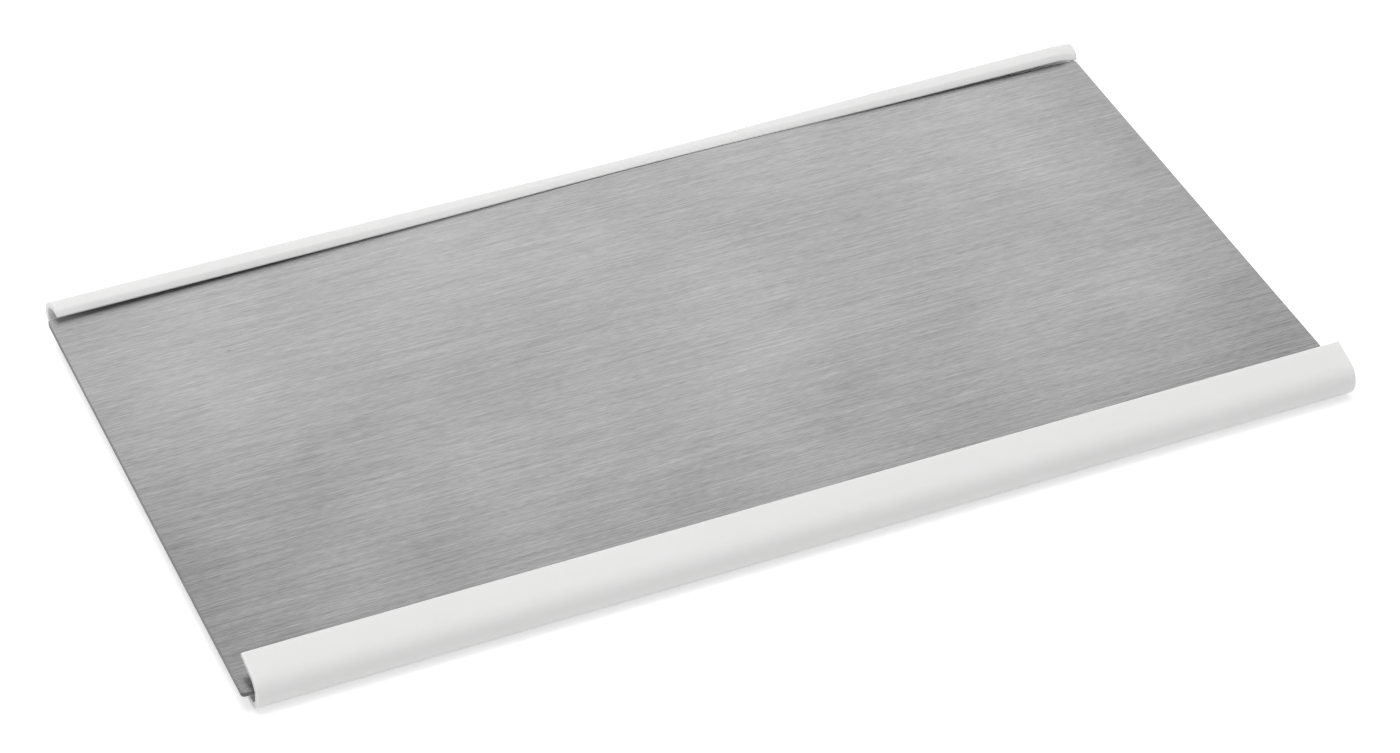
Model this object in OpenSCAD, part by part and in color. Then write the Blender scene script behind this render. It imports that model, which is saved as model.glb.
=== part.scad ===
// Card scraper: a thin steel card with a push-on plastic guard over each long edge.
// Millimetres. X runs along the card, Y across it from the front edge to the rear edge, Z is up.
// The origin is the middle of the footprint, on the surface that the guards stand on.

/* [Blade] */
// Length of the steel card
blade_l = 125; // [80:1:200]
// Width of the steel card, from one guarded edge to the other
blade_w = 62; // [40:1:100]
// Thickness of the steel card
blade_t = 0.6; // [0.4:0.05:1.2]
// Radius of the card's corners, seen from above
corner_r = 0.4; // [0.1:0.1:3]

/* [Guards] */
// Length that the front guard is cut to
front_guard_l = 124.4; // [60:0.2:200]
// Length that the rear guard is cut to
rear_guard_l = 125; // [60:0.2:200]
// Wall of the guards' channels
guard_wall = 0.65; // [0.4:0.05:0.8]
// Outside radius of the front guard's round nose
nose_r = 2.2; // [1.9:0.05:3]
// Length of a full leg, from the middle of the nose to the middle of its lip
leg_l = 2.5; // [2:0.1:5]
// Rise of the front guard's upper leg towards the mouth, in degrees
upper_rise = 16; // [8:1:24]
// How much smaller the rear guard's nose is, as a radius
rear_slim = 0.1; // [0:0.05:0.3]
// Length of the rear guard's short upper leg
rear_lip_l = 0.2; // [0.1:0.1:1]
// Fall of that leg towards the mouth, in degrees
rear_lip_fall = 24; // [10:1:30]

/* [Seats] */
// Depth of the front nose's middle below the card's upper face
nose_drop = 0.7; // [0.4:0.05:1]
// Clearance between a guard and the card where it grips
seat_gap = 0.1; // [0.05:0.05:0.3]
// How far the front guard sits to the right of the card's middle
front_shift = 0.95; // [-10:0.05:10]
// How far the rear guard sits to the right of the card's middle
rear_shift = 0.6; // [-10:0.05:10]
// How far the front guard is drawn out from the place where the card's edge meets its nose
front_draw = 0; // [0:0.05:3]
// How far the rear guard is drawn out from that place
rear_draw = 2.25; // [0:0.05:3]

/* [Hidden] */
$fn = 96;

// The noses stand on the surface, so their radius and drop set the height of the card's upper face
blade_top = nose_r + nose_drop;
rear_nose_r = nose_r - rear_slim;

// Radii of a guard's bore and of the middle of its wall
function bore_r(radius) = radius - guard_wall;
function mid_r(radius) = radius - guard_wall / 2;

// Pushed home, a guard has the card's upper corner one seat gap inside the bore of its nose
function nose_in(radius) = sqrt(pow(bore_r(radius) - seat_gap, 2) - pow(blade_top - radius, 2));

// The lower leg rises until its lip lies one seat gap under the card
function lip_height(radius) = blade_top - radius - blade_t - seat_gap - guard_wall / 2;
function lower_rise(radius) =
    atan2(mid_r(radius), leg_l) + asin(lip_height(radius) / norm([mid_r(radius), leg_l]));

// Distance of each nose's middle from the card's middle
front_nose_y = blade_w / 2 - nose_in(nose_r) + front_draw;
rear_nose_y = blade_w / 2 - nose_in(rear_nose_r) + rear_draw;

// The origin is at the middle of the whole part, guards included
right_end = max(blade_l / 2, front_shift + front_guard_l / 2, rear_shift + rear_guard_l / 2);
left_end = min(-blade_l / 2, front_shift - front_guard_l / 2, rear_shift - rear_guard_l / 2);
middle_x = (right_end + left_end) / 2;
middle_y = (rear_nose_y + rear_nose_r - front_nose_y - nose_r) / 2;

// Straight leg along +X with a round lip, above (1) or below (-1) the middle of the nose
module leg(side, radius, length) {
    translate([0, side * mid_r(radius) - guard_wall / 2])
        square([length, guard_wall]);
    translate([length, side * mid_r(radius)])
        circle(d = guard_wall);
}

// What opens the nose in front of a leg's root, on the leg's own side and past the nose's middle
module root_cut(side, radius) {
    reach = 2 * radius;
    overlap = bore_r(radius) / 2;
    translate([0, side > 0 ? -overlap : -reach])
        square([reach, reach + overlap]);
}

// Section of a guard, mouth towards +X, around the middle of the nose
module guard_section(radius, upper_l, rise) {
    difference() {
        circle(r = radius);
        circle(r = bore_r(radius));
        rotate(rise)
            root_cut(1, radius);
        rotate(lower_rise(radius))
            root_cut(-1, radius);
    }
    rotate(rise)
        leg(1, radius, upper_l);
    rotate(lower_rise(radius))
        leg(-1, radius, leg_l);
}

// A guard along X, mouth towards +Y, with the middle of its nose one radius above the surface
module guard(length, radius, upper_l, rise) {
    translate([0, 0, radius])
        rotate([90, 0, 90])
            linear_extrude(height = length, center = true)
                guard_section(radius, upper_l, rise);
}

// Outline of the card with its corners rounded
module card_outline() {
    square([blade_l - 2 * corner_r, blade_w], center = true);
    square([blade_l, blade_w - 2 * corner_r], center = true);
    for (x = [-1, 1], y = [-1, 1])
        translate([x * (blade_l / 2 - corner_r), y * (blade_w / 2 - corner_r)])
            circle(r = corner_r);
}

module blade() {
    color("silver")
        translate([-middle_x, -middle_y, blade_top - blade_t])
            linear_extrude(height = blade_t)
                card_outline();
}

module front_guard() {
    color("white")
        translate([front_shift - middle_x, -front_nose_y - middle_y, 0])
            guard(front_guard_l, nose_r, leg_l, upper_rise);
}

module rear_guard() {
    color("white")
        translate([rear_shift - middle_x, rear_nose_y - middle_y, 0])
            mirror([0, 1, 0])
                guard(rear_guard_l, rear_nose_r, rear_lip_l, -rear_lip_fall);
}

blade();
front_guard();
rear_guard();
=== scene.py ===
"""Card scraper: a brushed steel card with a white plastic guard pushed over each long edge.

Lengths are in metres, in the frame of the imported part. X runs along the card, Y across it from the
front edge to the rear edge, and Z is up from the surface that the guards stand on.
"""

import math

import bmesh
import bpy
from bpy.props import FloatProperty, FloatVectorProperty, IntProperty, PointerProperty
from mathutils import Matrix, Vector


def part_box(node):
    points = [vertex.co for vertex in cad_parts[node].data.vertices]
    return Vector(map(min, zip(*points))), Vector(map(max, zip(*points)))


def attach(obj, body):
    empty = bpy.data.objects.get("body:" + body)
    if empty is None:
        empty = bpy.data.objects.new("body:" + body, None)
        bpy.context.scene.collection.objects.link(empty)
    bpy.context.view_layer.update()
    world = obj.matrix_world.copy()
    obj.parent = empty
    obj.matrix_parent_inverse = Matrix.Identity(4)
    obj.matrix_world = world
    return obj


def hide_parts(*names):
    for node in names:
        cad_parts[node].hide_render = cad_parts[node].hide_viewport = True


bl_info = {
    "name": "Card Scraper",
    "version": (1, 0, 0),
    "blender": (4, 5, 0),
    "location": "View3D > Sidebar > Card Scraper",
    "description": "Adds a steel card scraper with its two edge guards and a plain studio",
    "category": "Add Mesh",
}

MM = 0.001

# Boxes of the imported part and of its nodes, which the pieces are built in
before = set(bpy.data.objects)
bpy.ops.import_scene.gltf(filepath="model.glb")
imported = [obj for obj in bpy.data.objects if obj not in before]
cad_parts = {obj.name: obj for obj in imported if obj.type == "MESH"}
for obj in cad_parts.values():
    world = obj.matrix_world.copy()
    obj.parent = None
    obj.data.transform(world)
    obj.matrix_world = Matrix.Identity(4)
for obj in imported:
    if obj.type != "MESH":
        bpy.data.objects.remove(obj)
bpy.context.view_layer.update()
CARD_LOW, CARD_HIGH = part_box("blade")
CARD_MIDDLE = (CARD_LOW + CARD_HIGH) / 2
CARD_SIZE = CARD_HIGH - CARD_LOW
FRONT_LOW, FRONT_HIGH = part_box("front_guard")
REAR_LOW, REAR_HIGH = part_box("rear_guard")


def length_property(name, description, default):
    """A length that a user can change, in metres."""
    return FloatProperty(name=name, description=description, default=default, unit="LENGTH",
                         subtype="DISTANCE", precision=5)


def angle_property(name, description, default):
    """An angle that a user can change, in radians."""
    return FloatProperty(name=name, description=description, default=default, unit="ROTATION",
                         subtype="ANGLE")


def share_property(name, description, default):
    """A plain share or strength that a user can change."""
    return FloatProperty(name=name, description=description, default=default, min=0.0)


def colour_property(name, description, grey, warmth=0.0):
    """A near-grey colour that a user can change, a little warmer or cooler than neutral."""
    return FloatVectorProperty(name=name, description=description, subtype="COLOR", size=4, min=0.0,
                               max=1.0, default=(grey + warmth, grey, grey - warmth, 1.0))


class CardSettings(bpy.types.PropertyGroup):
    """Sizes and colours of the steel card."""

    corner_radius: length_property("Corner Radius", "Radius of the card's corners", 0.4 * MM)
    arris: length_property("Arris", "Width of the rubbed line along every edge", 0.06 * MM)
    grid: length_property("Grid", "Spacing of the mesh lines on the faces", 2.5 * MM)
    bow: length_property("Bow", "Rise of the rear edge along most of its length", 0.455 * MM)
    bow_middle: length_property("Bow Middle", "Where it is highest, from the card's middle", 4.8 * MM)
    bow_reach: length_property("Bow Reach", "How far the bow runs to either side", 48 * MM)
    hump: length_property("Hump", "Further rise of the rear edge over a shorter length", 0.2 * MM)
    hump_middle: length_property("Hump Middle", "Where it is highest, from the card's middle", 18 * MM)
    hump_reach: length_property("Hump Reach", "How far the hump runs to either side", 20 * MM)
    dark_steel: colour_property("Dark Steel", "Steel in the troughs of the brushing", 0.22)
    light_steel: colour_property("Light Steel", "Steel on the crests of the brushing", 0.6)
    # Painted shade: the rim's near-black colour stands for the dark line along each cut edge
    cut_steel: colour_property("Cut Steel", "Steel on the cut ends and edges", 0.06)
    # Painted highlight: the arris's light colour, also the light end of the rim's filed and worn streaks
    worn_and_highlight_steel: colour_property("Rubbed Steel", "Steel on the rubbed arris", 0.4)


class GuardSettings(bpy.types.PropertyGroup):
    """Sizes and colours of the two guards."""

    nose_radius: length_property("Nose Radius", "Outside radius of the front guard's nose", 2.2 * MM)
    rear_radius: length_property("Rear Radius", "Outside radius of the rear guard's nose", 2.1 * MM)
    wall: length_property("Wall", "Thickness of the plastic", 0.65 * MM)
    leg: length_property("Leg", "Length of a full leg, from the nose's middle to its lip's", 2.5 * MM)
    short_leg: length_property("Short Leg", "Length of the rear guard's upper leg", 0.2 * MM)
    thin_lip: length_property("Thin Lip", "Radius of the rear guard's upper lip", 0.15 * MM)
    upper_rise: angle_property("Upper Rise", "Rise of the front guard's upper leg", math.radians(16))
    lip_fall: angle_property("Lip Fall", "Fall of the rear guard's upper leg", math.radians(24))
    seat_gap: length_property("Seat Gap", "Clearance of the lower lips under the card", 0.1 * MM)
    cut_edge: length_property("Cut Edge", "Softened edge of the cut ends", 0.07 * MM)
    wave: angle_property("Lip Wave", "Most that the upper lip dips along its length", math.radians(2.5))
    spread: angle_property("Spread", "How far the bowed card opens the rear guard", math.radians(22.6))
    spread_reach: length_property("Spread Reach", "How far it opens to either side", 24 * MM)
    spread_middle: length_property("Spread Middle", "Where it opens most, from the card's middle", 6.8 * MM)
    flatten: share_property("Flatten", "How much the bowed card flattens the rear guard", 0.055)
    draw_in: length_property("Draw In", "How far the rear guard's middle is drawn in", 0.3 * MM)
    draw_reach: length_property("Draw Reach", "How far that runs to either side", 26 * MM)
    draw_middle: length_property("Draw Middle", "Where that is most, from the card's middle", 6.8 * MM)
    skew: length_property("Skew", "How far the rear guard's left end is drawn in", 0.46 * MM)
    droop: length_property("Droop", "How far the rear lip hangs down at its right end", 0.42 * MM)
    left_cut: length_property("Left Cut", "How far the rear guard's left cut slants back", 0.45 * MM)
    right_cut: length_property("Right Cut", "How far the rear guard's right cut slants back", 0.3 * MM)
    rings: IntProperty(name="Rings", description="Mesh rings along a guard", default=160, min=2)
    white: colour_property("White", "Plastic where it is clean", 0.84, 0.002)
    dull_white: colour_property("Dull White", "Plastic where it has dulled", 0.79, 0.004)


class StageSettings(bpy.types.PropertyGroup):
    """Light, floor and camera."""

    floor_colour: colour_property("Floor", "Colour of the floor", 0.9)
    floor_size: length_property("Floor Size", "Width of the floor", 6.0)
    floor_lift: share_property("Floor Lift", "Light of its own that makes the floor white", 0.42)
    ambient: share_property("Ambient", "Strength of the light from all round", 0.42)
    key_power: FloatProperty(name="Key", description="Power of the large lamp overhead", default=5.45,
                             unit="POWER")
    fill_power: FloatProperty(name="Fill", description="Power of the lamp at the front", default=0.9,
                              unit="POWER")
    side_power: FloatProperty(name="Side", description="Power of the lamp at the left", default=0.35,
                              unit="POWER")
    lens: FloatProperty(name="Lens", description="Focal length on a 36 mm sensor", default=111.23,
                        subtype="DISTANCE_CAMERA")


class Value:
    """A number in a node tree. Arithmetic on it adds Math nodes to the tree."""

    def __init__(self, nodes, socket):
        self.nodes = nodes
        self.socket = socket

    def __add__(self, other):
        return self.nodes.math("ADD", self, other)

    def __sub__(self, other):
        return self.nodes.math("SUBTRACT", self, other)

    def __mul__(self, other):
        return self.nodes.math("MULTIPLY", self, other)

    def __truediv__(self, other):
        return self.nodes.math("DIVIDE", self, other)

    def __gt__(self, other):
        return self.nodes.math("GREATER_THAN", self, other)

    def __neg__(self):
        return self.nodes.math("MULTIPLY", self, -1.0)

    def sin(self):
        """Sine of an angle."""
        return self.nodes.math("SINE", self)

    def cos(self):
        """Cosine of an angle."""
        return self.nodes.math("COSINE", self)

    def at_least(self, other):
        """The larger of two numbers."""
        return self.nodes.math("MAXIMUM", self, other)

    def bell(self, middle, reach):
        """One at the middle, falling smoothly to nothing on either side of it."""
        offset = (self - middle) / reach
        return self.nodes.math("EXPONENT", -(offset * offset))


class Nodes:
    """Adds nodes to a tree, each input given as a plain value or as what feeds it."""

    def __init__(self, tree):
        self.tree = tree

    def feed(self, socket, value):
        """Links a socket to what feeds it, or sets its plain value."""
        source = value.socket if isinstance(value, Value) else value
        if isinstance(source, bpy.types.NodeSocket):
            self.tree.links.new(source, socket)
        else:
            socket.default_value = source

    def add(self, kind, inputs=None, **settings):
        """A new node with its settings and inputs, which are found by name or place."""
        node = self.tree.nodes.new(kind)
        for name, value in settings.items():
            setattr(node, name, value)
        for key, value in (inputs or {}).items():
            self.feed(node.inputs[key], value)
        return node

    def value(self, kind, output, inputs=None, **settings):
        """One output of a new node, ready for arithmetic."""
        return Value(self, self.add(kind, inputs, **settings).outputs[output])

    def math(self, operation, *values):
        """A Math node's result."""
        return self.value("ShaderNodeMath", 0, dict(enumerate(values)), operation=operation)

    def smooth_step(self, value, start, end):
        """Zero before start and one after end, with a smooth run between them."""
        inputs = {"Value": value, "From Min": start, "From Max": end}
        return self.value("ShaderNodeMapRange", 0, inputs, interpolation_type="SMOOTHSTEP")

    def vector(self, x, y, z):
        """A vector from its three numbers."""
        return self.add("ShaderNodeCombineXYZ", {"X": x, "Y": y, "Z": z}).outputs[0]

    def split(self, vector):
        """A vector's three numbers."""
        node = self.add("ShaderNodeSeparateXYZ", {0: vector})
        return [Value(self, output) for output in node.outputs]


def new_tree(name, kind, inputs, outputs):
    """A node group with its named sockets, and its inputs as numbers or sockets by name."""
    tree = bpy.data.node_groups.new(name, kind)
    for socket_name, socket_type in inputs.items():
        tree.interface.new_socket(socket_name, in_out="INPUT", socket_type=socket_type)
    for socket_name, socket_type in outputs.items():
        tree.interface.new_socket(socket_name, in_out="OUTPUT", socket_type=socket_type)
    nodes = Nodes(tree)
    group_input = nodes.add("NodeGroupInput")
    given = {}
    for socket_name, socket_type in inputs.items():
        socket = group_input.outputs[socket_name]
        given[socket_name] = Value(nodes, socket) if socket_type == "NodeSocketFloat" else socket
    return tree, nodes, given


def link_object(name, data):
    """A new object at the origin, in the scene."""
    thing = bpy.data.objects.new(name, data)
    bpy.context.scene.collection.objects.link(thing)
    return thing


# Guards


# Points on a long arc of a guard's section and round a lip, and how many numbers each arc has for its own
ARC_POINTS = 40
CAP_POINTS = 14
BLOCK = 1000.0

# Waves of the front guard's lip: their length, and the place in the noise that they are read from
WAVE_LENGTH = 34 * MM
WAVE_SEED = 2.0

# Slope, from the middle of the nose towards the mouth, above which a point is on the upper leg
LEG_SLOPE = 0.3

# Distances from the rear guard's right cut at which its lip starts to hang and hangs in full
DROOP_START = 2.2 * MM
DROOP_FULL = 0.6 * MM

# Length of guard that a slanted cut draws along, and the slant's depth in nose radii
CUT_REACH = 8 * MM
CUT_DEPTH = 1.6

# Inputs of the guard's geometry nodes: those that are plain numbers, and all of them with their kinds
GUARD_NUMBERS = (
    "Length", "Nose Radius", "Wall", "Upper Leg", "Lower Leg", "Lip Radius", "Upper Rise", "Lower Rise",
    "Lip Wave", "Wave Seed", "Spread", "Spread Middle", "Spread Reach", "Flatten", "Draw In", "Draw Middle",
    "Draw Reach", "Skew", "Droop", "First Cut", "Last Cut", "Turn",
)
GUARD_INPUTS = {
    **dict.fromkeys(GUARD_NUMBERS, "NodeSocketFloat"),
    "Place": "NodeSocketVector",
    "Rings": "NodeSocketInt",
    "Material": "NodeSocketMaterial",
}


def arc_points(nodes, radius, start, sweep, middle, count, first, step):
    """Points along one arc of the section, numbered from first by step for their order round it."""
    arc = nodes.add("GeometryNodeCurveArc", {"Resolution": count, "Radius": radius, "Start Angle": start,
                                             "Sweep Angle": sweep}, mode="RADIUS")
    placed = nodes.add("GeometryNodeTransform", {"Geometry": arc.outputs[0], "Translation": middle})
    points = nodes.add("GeometryNodeCurveToPoints", {"Curve": placed.outputs[0]}, mode="EVALUATED")
    order = nodes.value("GeometryNodeInputIndex", 0) * step + first
    stored = nodes.add("GeometryNodeStoreNamedAttribute",
                       {"Geometry": points.outputs[0], "Name": "order", "Value": order})
    return stored.outputs[0]


def guard_section(nodes, given):
    """Closed outline of a guard, mouth along X, from the arcs of its nose, its bore and its two lips."""
    nose, wall, lip = given["Nose Radius"], given["Wall"], given["Lip Radius"]
    upper, lower = given["Upper Rise"], given["Lower Rise"]
    upper_leg, lower_leg = given["Upper Leg"], given["Lower Leg"]
    half_wall = wall * 0.5
    middle_radius = nose - half_wall
    quarter = math.pi / 2
    root = upper + quarter
    sweep = lower - upper + math.pi
    centre = (0.0, 0.0, 0.0)
    thinner = half_wall - lip
    lip_reach, lip_height = upper_leg + thinner, middle_radius - thinner
    upper_lip = nodes.vector(lip_reach * upper.cos() - lip_height * upper.sin(),
                             lip_reach * upper.sin() + lip_height * upper.cos(), 0.0)
    lower_lip = nodes.vector(lower_leg * lower.cos() + middle_radius * lower.sin(),
                             lower_leg * lower.sin() - middle_radius * lower.cos(), 0.0)
    arcs = [
        arc_points(nodes, lip, upper - quarter, math.pi, upper_lip, CAP_POINTS, BLOCK, -1.0),
        arc_points(nodes, nose - wall, root, sweep, centre, ARC_POINTS, 2 * BLOCK, 1.0),
        arc_points(nodes, half_wall, lower - quarter, math.pi, lower_lip, CAP_POINTS, 4 * BLOCK, -1.0),
        arc_points(nodes, nose, root, sweep, centre, ARC_POINTS, 5 * BLOCK, -1.0),
    ]
    joined = nodes.add("GeometryNodeJoinGeometry")
    for arc in arcs:
        nodes.tree.links.new(arc, joined.inputs[0])
    order = nodes.add("GeometryNodeInputNamedAttribute", {"Name": "order"}, data_type="FLOAT")
    outline = nodes.add("GeometryNodePointsToCurves", {"Points": joined.outputs[0],
                                                       "Weight": order.outputs[0]})
    closed = nodes.add("GeometryNodeSetSplineCyclic", {0: outline.outputs[0], "Cyclic": True})
    return closed.outputs[0]


def swept_section(nodes, given, section):
    """The section carried along X, with closed ends, mouth along Y and the upper leg above."""
    half = given["Length"] * 0.5
    line = nodes.add("GeometryNodeCurvePrimitiveLine", {"Start": nodes.vector(-half, 0.0, 0.0),
                                                        "End": nodes.vector(half, 0.0, 0.0)})
    path = nodes.add("GeometryNodeResampleCurve", {"Curve": line.outputs[0], "Count": given["Rings"]})
    upright = nodes.add("GeometryNodeSetCurveNormal", {"Curve": path.outputs[0]}, mode="Z_UP")
    swept = nodes.add("GeometryNodeCurveToMesh", {"Curve": upright.outputs[0], "Profile Curve": section,
                                                  "Fill Caps": True})
    turned = nodes.add("GeometryNodeTransform", {"Geometry": swept.outputs[0],
                                                 "Rotation": (math.pi, 0.0, 0.0)})
    return turned.outputs[0]


def flexed_place(nodes, given):
    """Where a point of a guard goes as its lip waves, opens and hangs, and its ends are cut at a slant."""
    position = nodes.add("GeometryNodeInputPosition").outputs[0]
    along, inward, up = nodes.split(position)
    length, nose = given["Length"], given["Nose Radius"]
    bend = along.bell(given["Spread Middle"], given["Spread Reach"])
    drawn = along.bell(given["Draw Middle"], given["Draw Reach"])
    wave = nodes.value("ShaderNodeTexNoise", "Fac", {"W": along / WAVE_LENGTH + given["Wave Seed"],
                                                     "Scale": 1.0, "Detail": 1.0},
                       noise_dimensions="1D")
    polar = nodes.math("ARCTAN2", up, inward)
    raised = (up > 0.0) * (up > inward * LEG_SLOPE)
    on_leg = nodes.smooth_step(polar, math.pi, given["Upper Rise"] + math.pi / 2) * raised
    opening = (given["Spread"] * bend - given["Lip Wave"] * wave) * on_leg
    new_inward = inward * opening.cos() - up * opening.sin()
    raised_up = inward * opening.sin() + up * opening.cos()
    new_up = (raised_up + nose) * (-(given["Flatten"] * drawn) + 1.0) - nose
    from_first = along + length * 0.5
    from_last = length * 0.5 - along
    hanging = nodes.smooth_step(from_first, DROOP_START, DROOP_FULL)
    slant = (inward + nose) / (nose * CUT_DEPTH)
    first_cut = nodes.smooth_step(from_first, CUT_REACH, 0.0) * given["First Cut"]
    last_cut = nodes.smooth_step(from_last, CUT_REACH, 0.0) * given["Last Cut"]
    shift = given["Draw In"] * drawn + given["Skew"] * (along / length + 0.5)
    return nodes.vector(along + (first_cut - last_cut) * slant, new_inward + shift,
                        new_up - hanging * on_leg * given["Droop"])


def guard_tree():
    """Geometry nodes that make one guard from its sizes."""
    tree, nodes, given = new_tree("Edge guard", "GeometryNodeTree", GUARD_INPUTS,
                                  {"Geometry": "NodeSocketGeometry"})
    swept = swept_section(nodes, given, guard_section(nodes, given))
    flexed = nodes.add("GeometryNodeSetPosition", {"Geometry": swept,
                                                   "Position": flexed_place(nodes, given)})
    placed = nodes.add("GeometryNodeTransform", {"Geometry": flexed.outputs[0],
                                                 "Translation": given["Place"],
                                                 "Rotation": nodes.vector(0.0, 0.0, given["Turn"])})
    realized = nodes.add("GeometryNodeRealizeInstances", {0: placed.outputs[0]})
    smooth = nodes.add("GeometryNodeSetShadeSmooth", {0: realized.outputs[0]})
    finished = nodes.add("GeometryNodeSetMaterial", {"Geometry": smooth.outputs[0],
                                                     "Material": given["Material"]})
    nodes.add("NodeGroupOutput", {"Geometry": finished.outputs[0]})
    return tree


def mesh_from_tree(thing, tree, values):
    """Runs a geometry tree with its input values and leaves the object a plain closed mesh."""
    modifier = thing.modifiers.new(tree.name, "NODES")
    modifier.node_group = tree
    for socket in tree.interface.items_tree:
        if socket.in_out == "INPUT":
            modifier[socket.identifier] = values[socket.name]
    evaluated = thing.evaluated_get(bpy.context.evaluated_depsgraph_get())
    mesh = bpy.data.meshes.new_from_object(evaluated)
    thing.modifiers.remove(modifier)
    shell = bmesh.new()
    shell.from_mesh(mesh)
    bmesh.ops.recalc_face_normals(shell, faces=shell.faces)
    shell.to_mesh(mesh)
    shell.free()
    if not mesh.polygons:
        raise RuntimeError(f"{thing.name} came out empty")
    thing.data = mesh


def soften_edges(thing, width, material=-1):
    """A small live bevel on the sharp edges of a piece."""
    bevel = thing.modifiers.new("Softened edges", "BEVEL")
    bevel.width = width
    bevel.segments = 2
    bevel.limit_method = "ANGLE"
    bevel.angle_limit = math.radians(50)
    bevel.harden_normals = True
    bevel.material = material


# Materials


# Places of the colours among a Mix node's inputs and outputs
MIX_FIRST = 6
MIX_SECOND = 7
MIX_RESULT = 2

# Distances from the card's middle between which painted shade darkens its faces towards the ends
END_START = 46 * MM
END_FULL = 64 * MM


def streaks_group(name):
    """Shader group: fine lines drawn along the length of a piece, as brushing or extruding leaves them."""
    tree, nodes, given = new_tree(name, "ShaderNodeTree",
                                  {"Streak Length": "NodeSocketFloat", "Streak Width": "NodeSocketFloat",
                                   "Offset": "NodeSocketFloat"},
                                  {"Streaks": "NodeSocketFloat"})
    along, across, up = nodes.split(nodes.add("ShaderNodeTexCoord").outputs["Object"])
    place = nodes.vector(along / given["Streak Length"] + given["Offset"], across / given["Streak Width"],
                         up / given["Streak Width"])
    noise = nodes.add("ShaderNodeTexNoise", {"Vector": place, "Scale": 1.0, "Detail": 2.0})
    nodes.add("NodeGroupOutput", {"Streaks": noise.outputs["Fac"]})
    return tree


def patches_group(name):
    """Shader group: soft patches, as handling and uneven polish leave them."""
    tree, nodes, given = new_tree(name, "ShaderNodeTree",
                                  {"Patch Size": "NodeSocketFloat", "Offset": "NodeSocketFloat"},
                                  {"Patches": "NodeSocketFloat"})
    along, across, up = nodes.split(nodes.add("ShaderNodeTexCoord").outputs["Object"])
    size = given["Patch Size"]
    place = nodes.vector(along / size + given["Offset"], across / size, up / size)
    noise = nodes.add("ShaderNodeTexNoise", {"Vector": place, "Scale": 1.0, "Detail": 3.0})
    nodes.add("NodeGroupOutput", {"Patches": noise.outputs["Fac"]})
    return tree


def shared_group(name, make):
    """A shader group by its name, built the first time that a material asks for it."""
    found = bpy.data.node_groups.get(name)
    return make(name) if found is None else found


class Surface:
    """A new material with its shader, and the effects that feed it."""

    def __init__(self, name, metallic):
        self.material = bpy.data.materials.new(name)
        self.material.use_nodes = True
        self.nodes = Nodes(self.material.node_tree)
        self.shader = self.material.node_tree.nodes["Principled BSDF"]
        self.set("Metallic", metallic)

    def set(self, name, value):
        """Sets or feeds one of the shader's inputs."""
        self.nodes.feed(self.shader.inputs[name], value)

    def streaks(self, length, width, offset):
        """Lengthwise streaks from zero to one."""
        group = shared_group("Lengthwise streaks", streaks_group)
        inputs = {"Streak Length": length, "Streak Width": width, "Offset": offset}
        return self.nodes.value("ShaderNodeGroup", "Streaks", inputs, node_tree=group)

    def patches(self, size, offset):
        """Soft patches from zero to one."""
        group = shared_group("Soft patches", patches_group)
        inputs = {"Patch Size": size, "Offset": offset}
        return self.nodes.value("ShaderNodeGroup", "Patches", inputs, node_tree=group)

    def mix(self, share, first, second):
        """A colour between two colours."""
        node = self.nodes.add("ShaderNodeMix", {"Factor": share}, data_type="RGBA")
        self.nodes.feed(node.inputs[MIX_FIRST], first)
        self.nodes.feed(node.inputs[MIX_SECOND], second)
        return node.outputs[MIX_RESULT]

    def scaled(self, colour, share):
        """A colour times a number."""
        node = self.nodes.add("ShaderNodeVectorMath", {0: colour, "Scale": share}, operation="SCALE")
        return node.outputs[0]

    def bump(self, height, depth):
        """Relief of a depth in metres, from a height of zero to one."""
        node = self.nodes.add("ShaderNodeBump", {"Height": height, "Strength": 1.0, "Distance": depth})
        self.set("Normal", node.outputs[0])


def brushed_steel(card):
    """The card's two faces: brushed lengthwise, lightly smudged, with painted light to the rear and painted
    shade to the front left and the ends.
    """
    steel = Surface("brushed_steel", 1.0)
    along, across, _ = steel.nodes.split(steel.nodes.add("ShaderNodeTexCoord").outputs["Object"])
    # Each layer of marks has its own length, width and offset, so that no two lie on each other
    fine = steel.streaks(7 * MM, 0.11 * MM, 0.0) - 0.5
    grain = steel.streaks(1.2 * MM, 0.1 * MM, 8.2) - 0.5
    coarse = steel.streaks(20 * MM, 0.7 * MM, 3.7) - 0.5
    drift = steel.patches(24 * MM, 1.3) - 0.5
    scratch = steel.nodes.smooth_step(steel.streaks(3.5 * MM, 0.12 * MM, 11.3), 0.66, 0.76)
    offset = along - CARD_MIDDLE.x
    # Masks for painted light: end grows towards the ends, rear towards the rear edge, front towards the
    # front left
    end = steel.nodes.smooth_step(offset * offset, END_START ** 2, END_FULL ** 2)
    rear = (across - CARD_MIDDLE.y) / CARD_SIZE.y
    front = steel.nodes.smooth_step(rear + offset / CARD_SIZE.x * 0.3, 0.15, -0.45)
    brushing = fine * 0.82 + grain * 0.7 + coarse * 0.2 + scratch * 0.26
    # Painted light in the tone: lighter towards the rear edge, painted shade towards the front left and the
    # ends
    tone = brushing + drift * 0.5 + rear * 0.22 - front * 0.07 - end * 0.12 + 0.545
    colour = steel.mix(tone, card.dark_steel, card.light_steel)
    smudge = steel.nodes.smooth_step(steel.patches(8 * MM, 7.1), 0.6, 0.76)
    speck = steel.nodes.smooth_step(steel.patches(0.9 * MM, 2.9), 0.77, 0.81)
    steel.set("Base Color", steel.scaled(colour, -(smudge * 0.07) - (speck * 0.3) + 1.0))
    steel.set("Roughness", fine * 0.2 + drift * 0.1 + 0.25)
    steel.bump(fine * 0.7 + coarse * 0.3, 0.003 * MM)
    return steel.material


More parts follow.
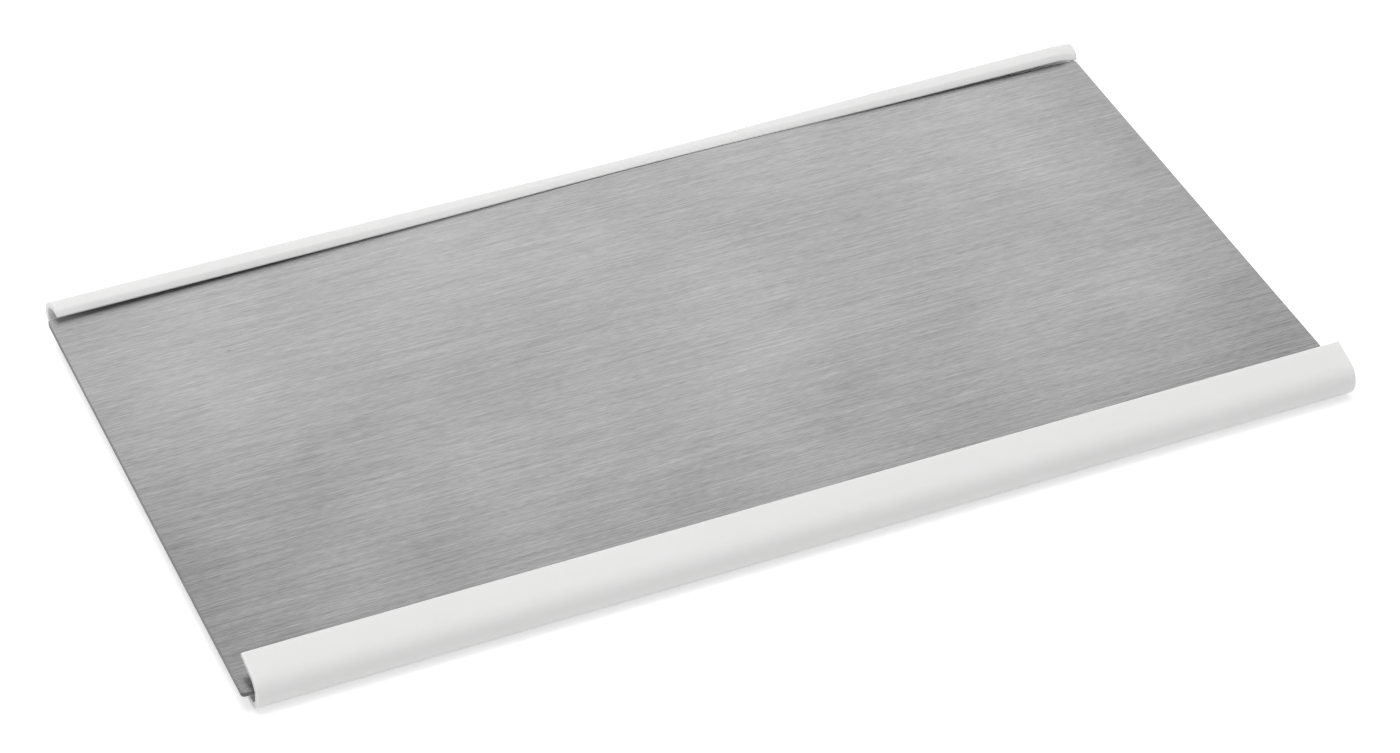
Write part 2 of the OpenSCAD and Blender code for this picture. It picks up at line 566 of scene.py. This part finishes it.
def cut_steel(card):
    """The card's rim: sheared and filed, and painted darker than the faces as painted shade, so that its
    edges show as dark lines.
    """
    steel = Surface("cut_steel", 1.0)
    filed = steel.streaks(3 * MM, 0.09 * MM, 5.0)
    worn = steel.patches(5 * MM, 2.0)
    # Painted shade: a near-black rim, with lighter filed streaks and worn patches mixed in
    steel.set("Base Color", steel.mix(filed * 0.25 + worn * 0.25 - 0.1, card.cut_steel, card.worn_and_highlight_steel))
    steel.set("Roughness", filed * 0.3 + 0.3)
    steel.bump(filed, 0.006 * MM)
    return steel.material


def worn_and_highlight_steel(card):
    """The arris: a light line along every edge, standing for the highlight that the edge catches, darkened
    in patches towards the rim's painted shade.
    """
    steel = Surface("worn_and_highlight_steel", 1.0)
    rubbed = steel.patches(3 * MM, 4.0)
    # Patches between the rim's painted shade and the arris's painted highlight
    steel.set("Base Color", steel.mix(rubbed, card.cut_steel, card.worn_and_highlight_steel))
    steel.set("Roughness", rubbed * 0.2 + 0.3)
    return steel.material


def guard_plastic(guards):
    """Extruded white plastic: satin, faintly lined along its length and dulled in patches."""
    plastic = Surface("guard_plastic", 0.0)
    plastic.set("Subsurface Weight", 0.5)
    plastic.set("Subsurface Radius", (1.0, 1.0, 1.0))
    plastic.set("Subsurface Scale", 0.6 * MM)
    drawn = plastic.streaks(160 * MM, 0.22 * MM, 9.0)
    dull = plastic.patches(16 * MM, 6.0)
    plastic.set("Base Color", plastic.mix(dull * 0.7 + drawn * 0.3, guards.white, guards.dull_white))
    plastic.set("Roughness", dull * 0.14 + drawn * 0.1 + 0.28)
    plastic.bump(drawn, 0.004 * MM)
    return plastic.material


# Card


CORNER_POINTS = 6

# The card's finishes, and the place of each in the list of its materials
CARD_FINISHES = (brushed_steel, cut_steel, worn_and_highlight_steel)
FACES, RIM, ARRIS = range(len(CARD_FINISHES))


def card_outline(radius):
    """Corners of the card's outline, anticlockwise from the front left, each corner a short arc."""
    outline = []
    for turn, (x, y) in enumerate([(-1, -1), (1, -1), (1, 1), (-1, 1)]):
        middle = Vector((CARD_MIDDLE.x + x * (CARD_SIZE.x / 2 - radius),
                         CARD_MIDDLE.y + y * (CARD_SIZE.y / 2 - radius), CARD_LOW.z))
        for step in range(CORNER_POINTS):
            angle = math.pi + (turn + step / (CORNER_POINTS - 1)) * math.pi / 2
            outline.append(middle + radius * Vector((math.cos(angle), math.sin(angle), 0)))
    return outline


def cut_into_grid(plate, spacing):
    """Cuts the plate by even lines along and across it, so that it can bend."""
    for axis, normal in enumerate([Vector((1, 0, 0)), Vector((0, 1, 0))]):
        count = round(CARD_SIZE[axis] / spacing)
        for line in range(1, count):
            place = CARD_LOW + normal * (CARD_SIZE[axis] * line / count)
            everything = plate.verts[:] + plate.edges[:] + plate.faces[:]
            bmesh.ops.bisect_plane(plate, geom=everything, plane_co=place, plane_no=normal)


def bow_rise(place, card):
    """How far the sprung card stands above flat: most at the rear edge, and nothing at the front edge."""
    along = place.x - CARD_MIDDLE.x
    back = (place.y - CARD_LOW.y) / CARD_SIZE.y
    bow = card.bow * math.exp(-((along - card.bow_middle) / card.bow_reach) ** 2)
    hump = card.hump * math.exp(-((along - card.hump_middle) / card.hump_reach) ** 2)
    return (bow + hump) * back * back


class SCRAPER_OT_add_card(bpy.types.Operator):
    """Add the brushed steel card, slightly bowed along its rear edge"""

    bl_idname = "scraper.add_card"
    bl_label = "Add Card"
    bl_options = {"REGISTER", "UNDO"}

    def execute(self, context):
        """Makes the card's mesh and its three steel finishes."""
        card = context.scene.scraper_card
        plate = bmesh.new()
        lower = plate.faces.new([plate.verts.new(point) for point in card_outline(card.corner_radius)])
        lower.normal_update()
        grown = bmesh.ops.extrude_face_region(plate, geom=[lower])["geom"]
        raised = [item for item in grown if isinstance(item, bmesh.types.BMVert)]
        bmesh.ops.translate(plate, verts=raised, vec=(0, 0, CARD_SIZE.z))
        cut_into_grid(plate, card.grid)
        bmesh.ops.recalc_face_normals(plate, faces=plate.faces)
        for face in plate.faces:
            face.smooth = True
            face.material_index = FACES if abs(face.normal.z) > 0.5 else RIM
        for vertex in plate.verts:
            vertex.co.z += bow_rise(vertex.co, card)
        mesh = bpy.data.meshes.new("steel_card")
        plate.to_mesh(mesh)
        plate.free()
        for finish in CARD_FINISHES:
            mesh.materials.append(finish(card))
        piece = link_object("steel_card", mesh)
        soften_edges(piece, card.arris, material=ARRIS)
        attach(piece, "card")
        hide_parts("blade")
        return {"FINISHED"}


def lower_rise(guards, nose_radius):
    """Rise of a lower leg, from the height of the card's underside above the middle of the nose."""
    middle_radius = nose_radius - guards.wall / 2
    lip_height = CARD_LOW.z - FRONT_LOW.z - nose_radius - guards.seat_gap - guards.wall / 2
    reach = math.hypot(middle_radius, guards.leg)
    return math.atan2(middle_radius, guards.leg) + math.asin(lip_height / reach)


def front_guard_sizes(guards):
    """What the front guard's geometry nodes need beside the shared sizes."""
    radius = guards.nose_radius
    return {
        "Length": FRONT_HIGH.x - FRONT_LOW.x,
        "Nose Radius": radius,
        "Upper Leg": guards.leg,
        "Upper Rise": guards.upper_rise,
        "Lower Rise": lower_rise(guards, radius),
        "Lip Radius": guards.wall / 2,
        "Lip Wave": guards.wave,
        "Wave Seed": WAVE_SEED,
        "Place": ((FRONT_LOW.x + FRONT_HIGH.x) / 2, FRONT_LOW.y + radius, FRONT_LOW.z + radius),
    }


def rear_guard_sizes(guards):
    """What the rear guard's geometry nodes need. It is turned round, so its right end is its first."""
    radius = guards.rear_radius
    middle = (REAR_LOW.x + REAR_HIGH.x) / 2
    from_card = middle - CARD_MIDDLE.x
    return {
        "Length": REAR_HIGH.x - REAR_LOW.x,
        "Nose Radius": radius,
        "Upper Leg": guards.short_leg,
        "Upper Rise": -guards.lip_fall,
        "Lower Rise": lower_rise(guards, radius),
        "Lip Radius": guards.thin_lip,
        "Spread": guards.spread,
        "Spread Middle": from_card - guards.spread_middle,
        "Flatten": guards.flatten,
        "Draw In": guards.draw_in,
        "Draw Middle": from_card - guards.draw_middle,
        "Skew": guards.skew,
        "Droop": guards.droop,
        "First Cut": guards.right_cut,
        "Last Cut": guards.left_cut,
        "Turn": math.pi,
        "Place": (middle, REAR_HIGH.y - radius, REAR_LOW.z + radius),
    }


class SCRAPER_OT_add_guards(bpy.types.Operator):
    """Add the two plastic guards, each over its own long edge of the card"""

    bl_idname = "scraper.add_guards"
    bl_label = "Add Guards"
    bl_options = {"REGISTER", "UNDO"}

    def execute(self, context):
        """Runs the guard's geometry nodes for each edge. A number that a guard doesn't give is zero."""
        guards = context.scene.scraper_guards
        tree = guard_tree()
        shared = {
            **dict.fromkeys(GUARD_NUMBERS, 0.0),
            "Wall": guards.wall,
            "Lower Leg": guards.leg,
            "Spread Reach": guards.spread_reach,
            "Draw Reach": guards.draw_reach,
            "Rings": guards.rings,
            "Material": guard_plastic(guards),
        }
        for body, sizes in (("front_guard", front_guard_sizes), ("rear_guard", rear_guard_sizes)):
            piece = link_object(body + "_strip", bpy.data.meshes.new(body + "_strip"))
            mesh_from_tree(piece, tree, {**shared, **sizes(guards)})
            soften_edges(piece, guards.cut_edge)
            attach(piece, body)
            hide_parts(body)
        return {"FINISHED"}


# Stage


# Camera at the photographed angle
CAMERA_PLACE = CARD_MIDDLE + Vector((-152.18, -322.61, 297.0)) * MM
CAMERA_AIM = CARD_MIDDLE + Vector((-1.49, -4.43, 0.3)) * MM
CAMERA_ROLL = math.radians(1.754)

# Place and width of each lamp
KEY_PLACE = Vector((-0.13, 0.12, 0.9))
KEY_WIDTH = 0.7
SIDE_PLACE = Vector((-0.9, -0.15, 0.2))
SIDE_WIDTH = 0.5
FILL_PLACE = Vector((-0.2, -0.9, 0.2))
FILL_WIDTH = 0.6

# Distances from the origin between which the floor runs into the white background
FLOOR_NEAR = 0.15
FLOOR_FAR = 0.45


def seen_directly(nodes):
    """One for rays from the camera and for what mirrors or glass show, and otherwise zero."""
    light_path = nodes.add("ShaderNodeLightPath").outputs
    kinds = ("Is Camera Ray", "Is Glossy Ray", "Is Transmission Ray")
    camera, glossy, through = [Value(nodes, light_path[kind]) for kind in kinds]
    return camera.at_least(glossy).at_least(through)


def floor_material(stage):
    """A pale floor that takes the shadow near the object and runs into the white background."""
    material = bpy.data.materials.new("studio_floor")
    material.use_nodes = True
    tree = material.node_tree
    tree.nodes.clear()
    nodes = Nodes(tree)
    seen = seen_directly(nodes)
    along, across, _ = nodes.split(nodes.add("ShaderNodeTexCoord").outputs["Object"])
    distance = nodes.math("SQRT", along * along + across * across)
    far = nodes.smooth_step(distance, FLOOR_NEAR, FLOOR_FAR)
    paint = nodes.add("ShaderNodeBsdfDiffuse", {"Color": stage.floor_colour})
    lift = nodes.add("ShaderNodeEmission", {"Strength": seen * stage.floor_lift})
    near_floor = nodes.add("ShaderNodeAddShader", {0: paint.outputs[0], 1: lift.outputs[0]})
    white = nodes.add("ShaderNodeEmission", {"Strength": 1.0})
    floor = nodes.add("ShaderNodeMixShader", {0: far * seen, 1: near_floor.outputs[0],
                                              2: white.outputs[0]})
    nodes.add("ShaderNodeOutputMaterial", {"Surface": floor.outputs[0]})
    return material


def light_world(stage):
    """White to the camera and in reflections, and a softer light on everything else."""
    world = bpy.data.worlds.new("studio")
    bpy.context.scene.world = world
    world.use_nodes = True
    nodes = Nodes(world.node_tree)
    strength = seen_directly(nodes) * (1.0 - stage.ambient) + stage.ambient
    background = world.node_tree.nodes["Background"]
    nodes.feed(background.inputs["Color"], (1.0, 1.0, 1.0, 1.0))
    nodes.feed(background.inputs["Strength"], strength)


def add_lamp(name, power, width, place):
    """A square soft lamp that shines at the card, unseen by the camera and in the steel."""
    lamp = bpy.data.lights.new(name, "AREA")
    lamp.energy = power
    lamp.size = width
    holder = link_object(name, lamp)
    holder.location = place
    holder.rotation_euler = (CARD_MIDDLE - place).to_track_quat("-Z", "Y").to_euler()
    holder.visible_camera = False
    holder.visible_glossy = False


def add_camera(stage):
    """The camera at the photographed angle."""
    lens = bpy.data.cameras.new("camera")
    lens.lens = stage.lens
    lens.sensor_width = 36.0
    lens.clip_start = 0.01
    camera = link_object("camera", lens)
    facing = (CAMERA_AIM - CAMERA_PLACE).to_track_quat("-Z", "Y").to_matrix().to_4x4()
    camera.matrix_world = Matrix.Translation(CAMERA_PLACE) @ facing @ Matrix.Rotation(CAMERA_ROLL, 4, "Z")
    bpy.context.scene.camera = camera


class SCRAPER_OT_add_stage(bpy.types.Operator):
    """Add the floor, the lamps, the world and the camera"""

    bl_idname = "scraper.add_stage"
    bl_label = "Add Stage"
    bl_options = {"REGISTER", "UNDO"}

    def execute(self, context):
        """Sets up a plain white studio round the part."""
        stage = context.scene.scraper_stage
        half = stage.floor_size / 2
        mesh = bpy.data.meshes.new("floor")
        corners = [(-half, -half, 0), (half, -half, 0), (half, half, 0), (-half, half, 0)]
        mesh.from_pydata(corners, [], [(0, 1, 2, 3)])
        mesh.materials.append(floor_material(stage))
        link_object("floor", mesh)
        light_world(stage)
        add_lamp("key", stage.key_power, KEY_WIDTH, KEY_PLACE)
        add_lamp("side", stage.side_power, SIDE_WIDTH, SIDE_PLACE)
        add_lamp("fill", stage.fill_power, FILL_WIDTH, FILL_PLACE)
        add_camera(stage)
        context.scene.view_settings.view_transform = "Standard"
        return {"FINISHED"}


class SCRAPER_PT_panel(bpy.types.Panel):
    """Sidebar panel with the scraper's pieces and their settings"""

    bl_idname = "SCRAPER_PT_panel"
    bl_label = "Card Scraper"
    bl_space_type = "VIEW_3D"
    bl_region_type = "UI"
    bl_category = "Card Scraper"

    def draw(self, context):
        """Lists each operator with the settings that it reads."""
        scene = context.scene
        rows = [
            ("scraper.add_card", scene.scraper_card),
            ("scraper.add_guards", scene.scraper_guards),
            ("scraper.add_stage", scene.scraper_stage),
        ]
        for operator, settings in rows:
            box = self.layout.box()
            box.operator(operator)
            for name in settings.__annotations__:
                box.prop(settings, name)


CLASSES = (
    CardSettings,
    GuardSettings,
    StageSettings,
    SCRAPER_OT_add_card,
    SCRAPER_OT_add_guards,
    SCRAPER_OT_add_stage,
    SCRAPER_PT_panel,
)


def register():
    """Adds the classes, and the settings to the scene."""
    for cls in CLASSES:
        bpy.utils.register_class(cls)
    bpy.types.Scene.scraper_card = PointerProperty(type=CardSettings)
    bpy.types.Scene.scraper_guards = PointerProperty(type=GuardSettings)
    bpy.types.Scene.scraper_stage = PointerProperty(type=StageSettings)


def unregister():
    """Removes the settings and the classes."""
    del bpy.types.Scene.scraper_stage
    del bpy.types.Scene.scraper_guards
    del bpy.types.Scene.scraper_card
    for cls in reversed(CLASSES):
        bpy.utils.unregister_class(cls)


def main():
    """Builds the scraper and its stage."""
    register()
    bpy.ops.scraper.add_card()
    bpy.ops.scraper.add_guards()
    bpy.ops.scraper.add_stage()


if __name__ == "__main__":
    main()
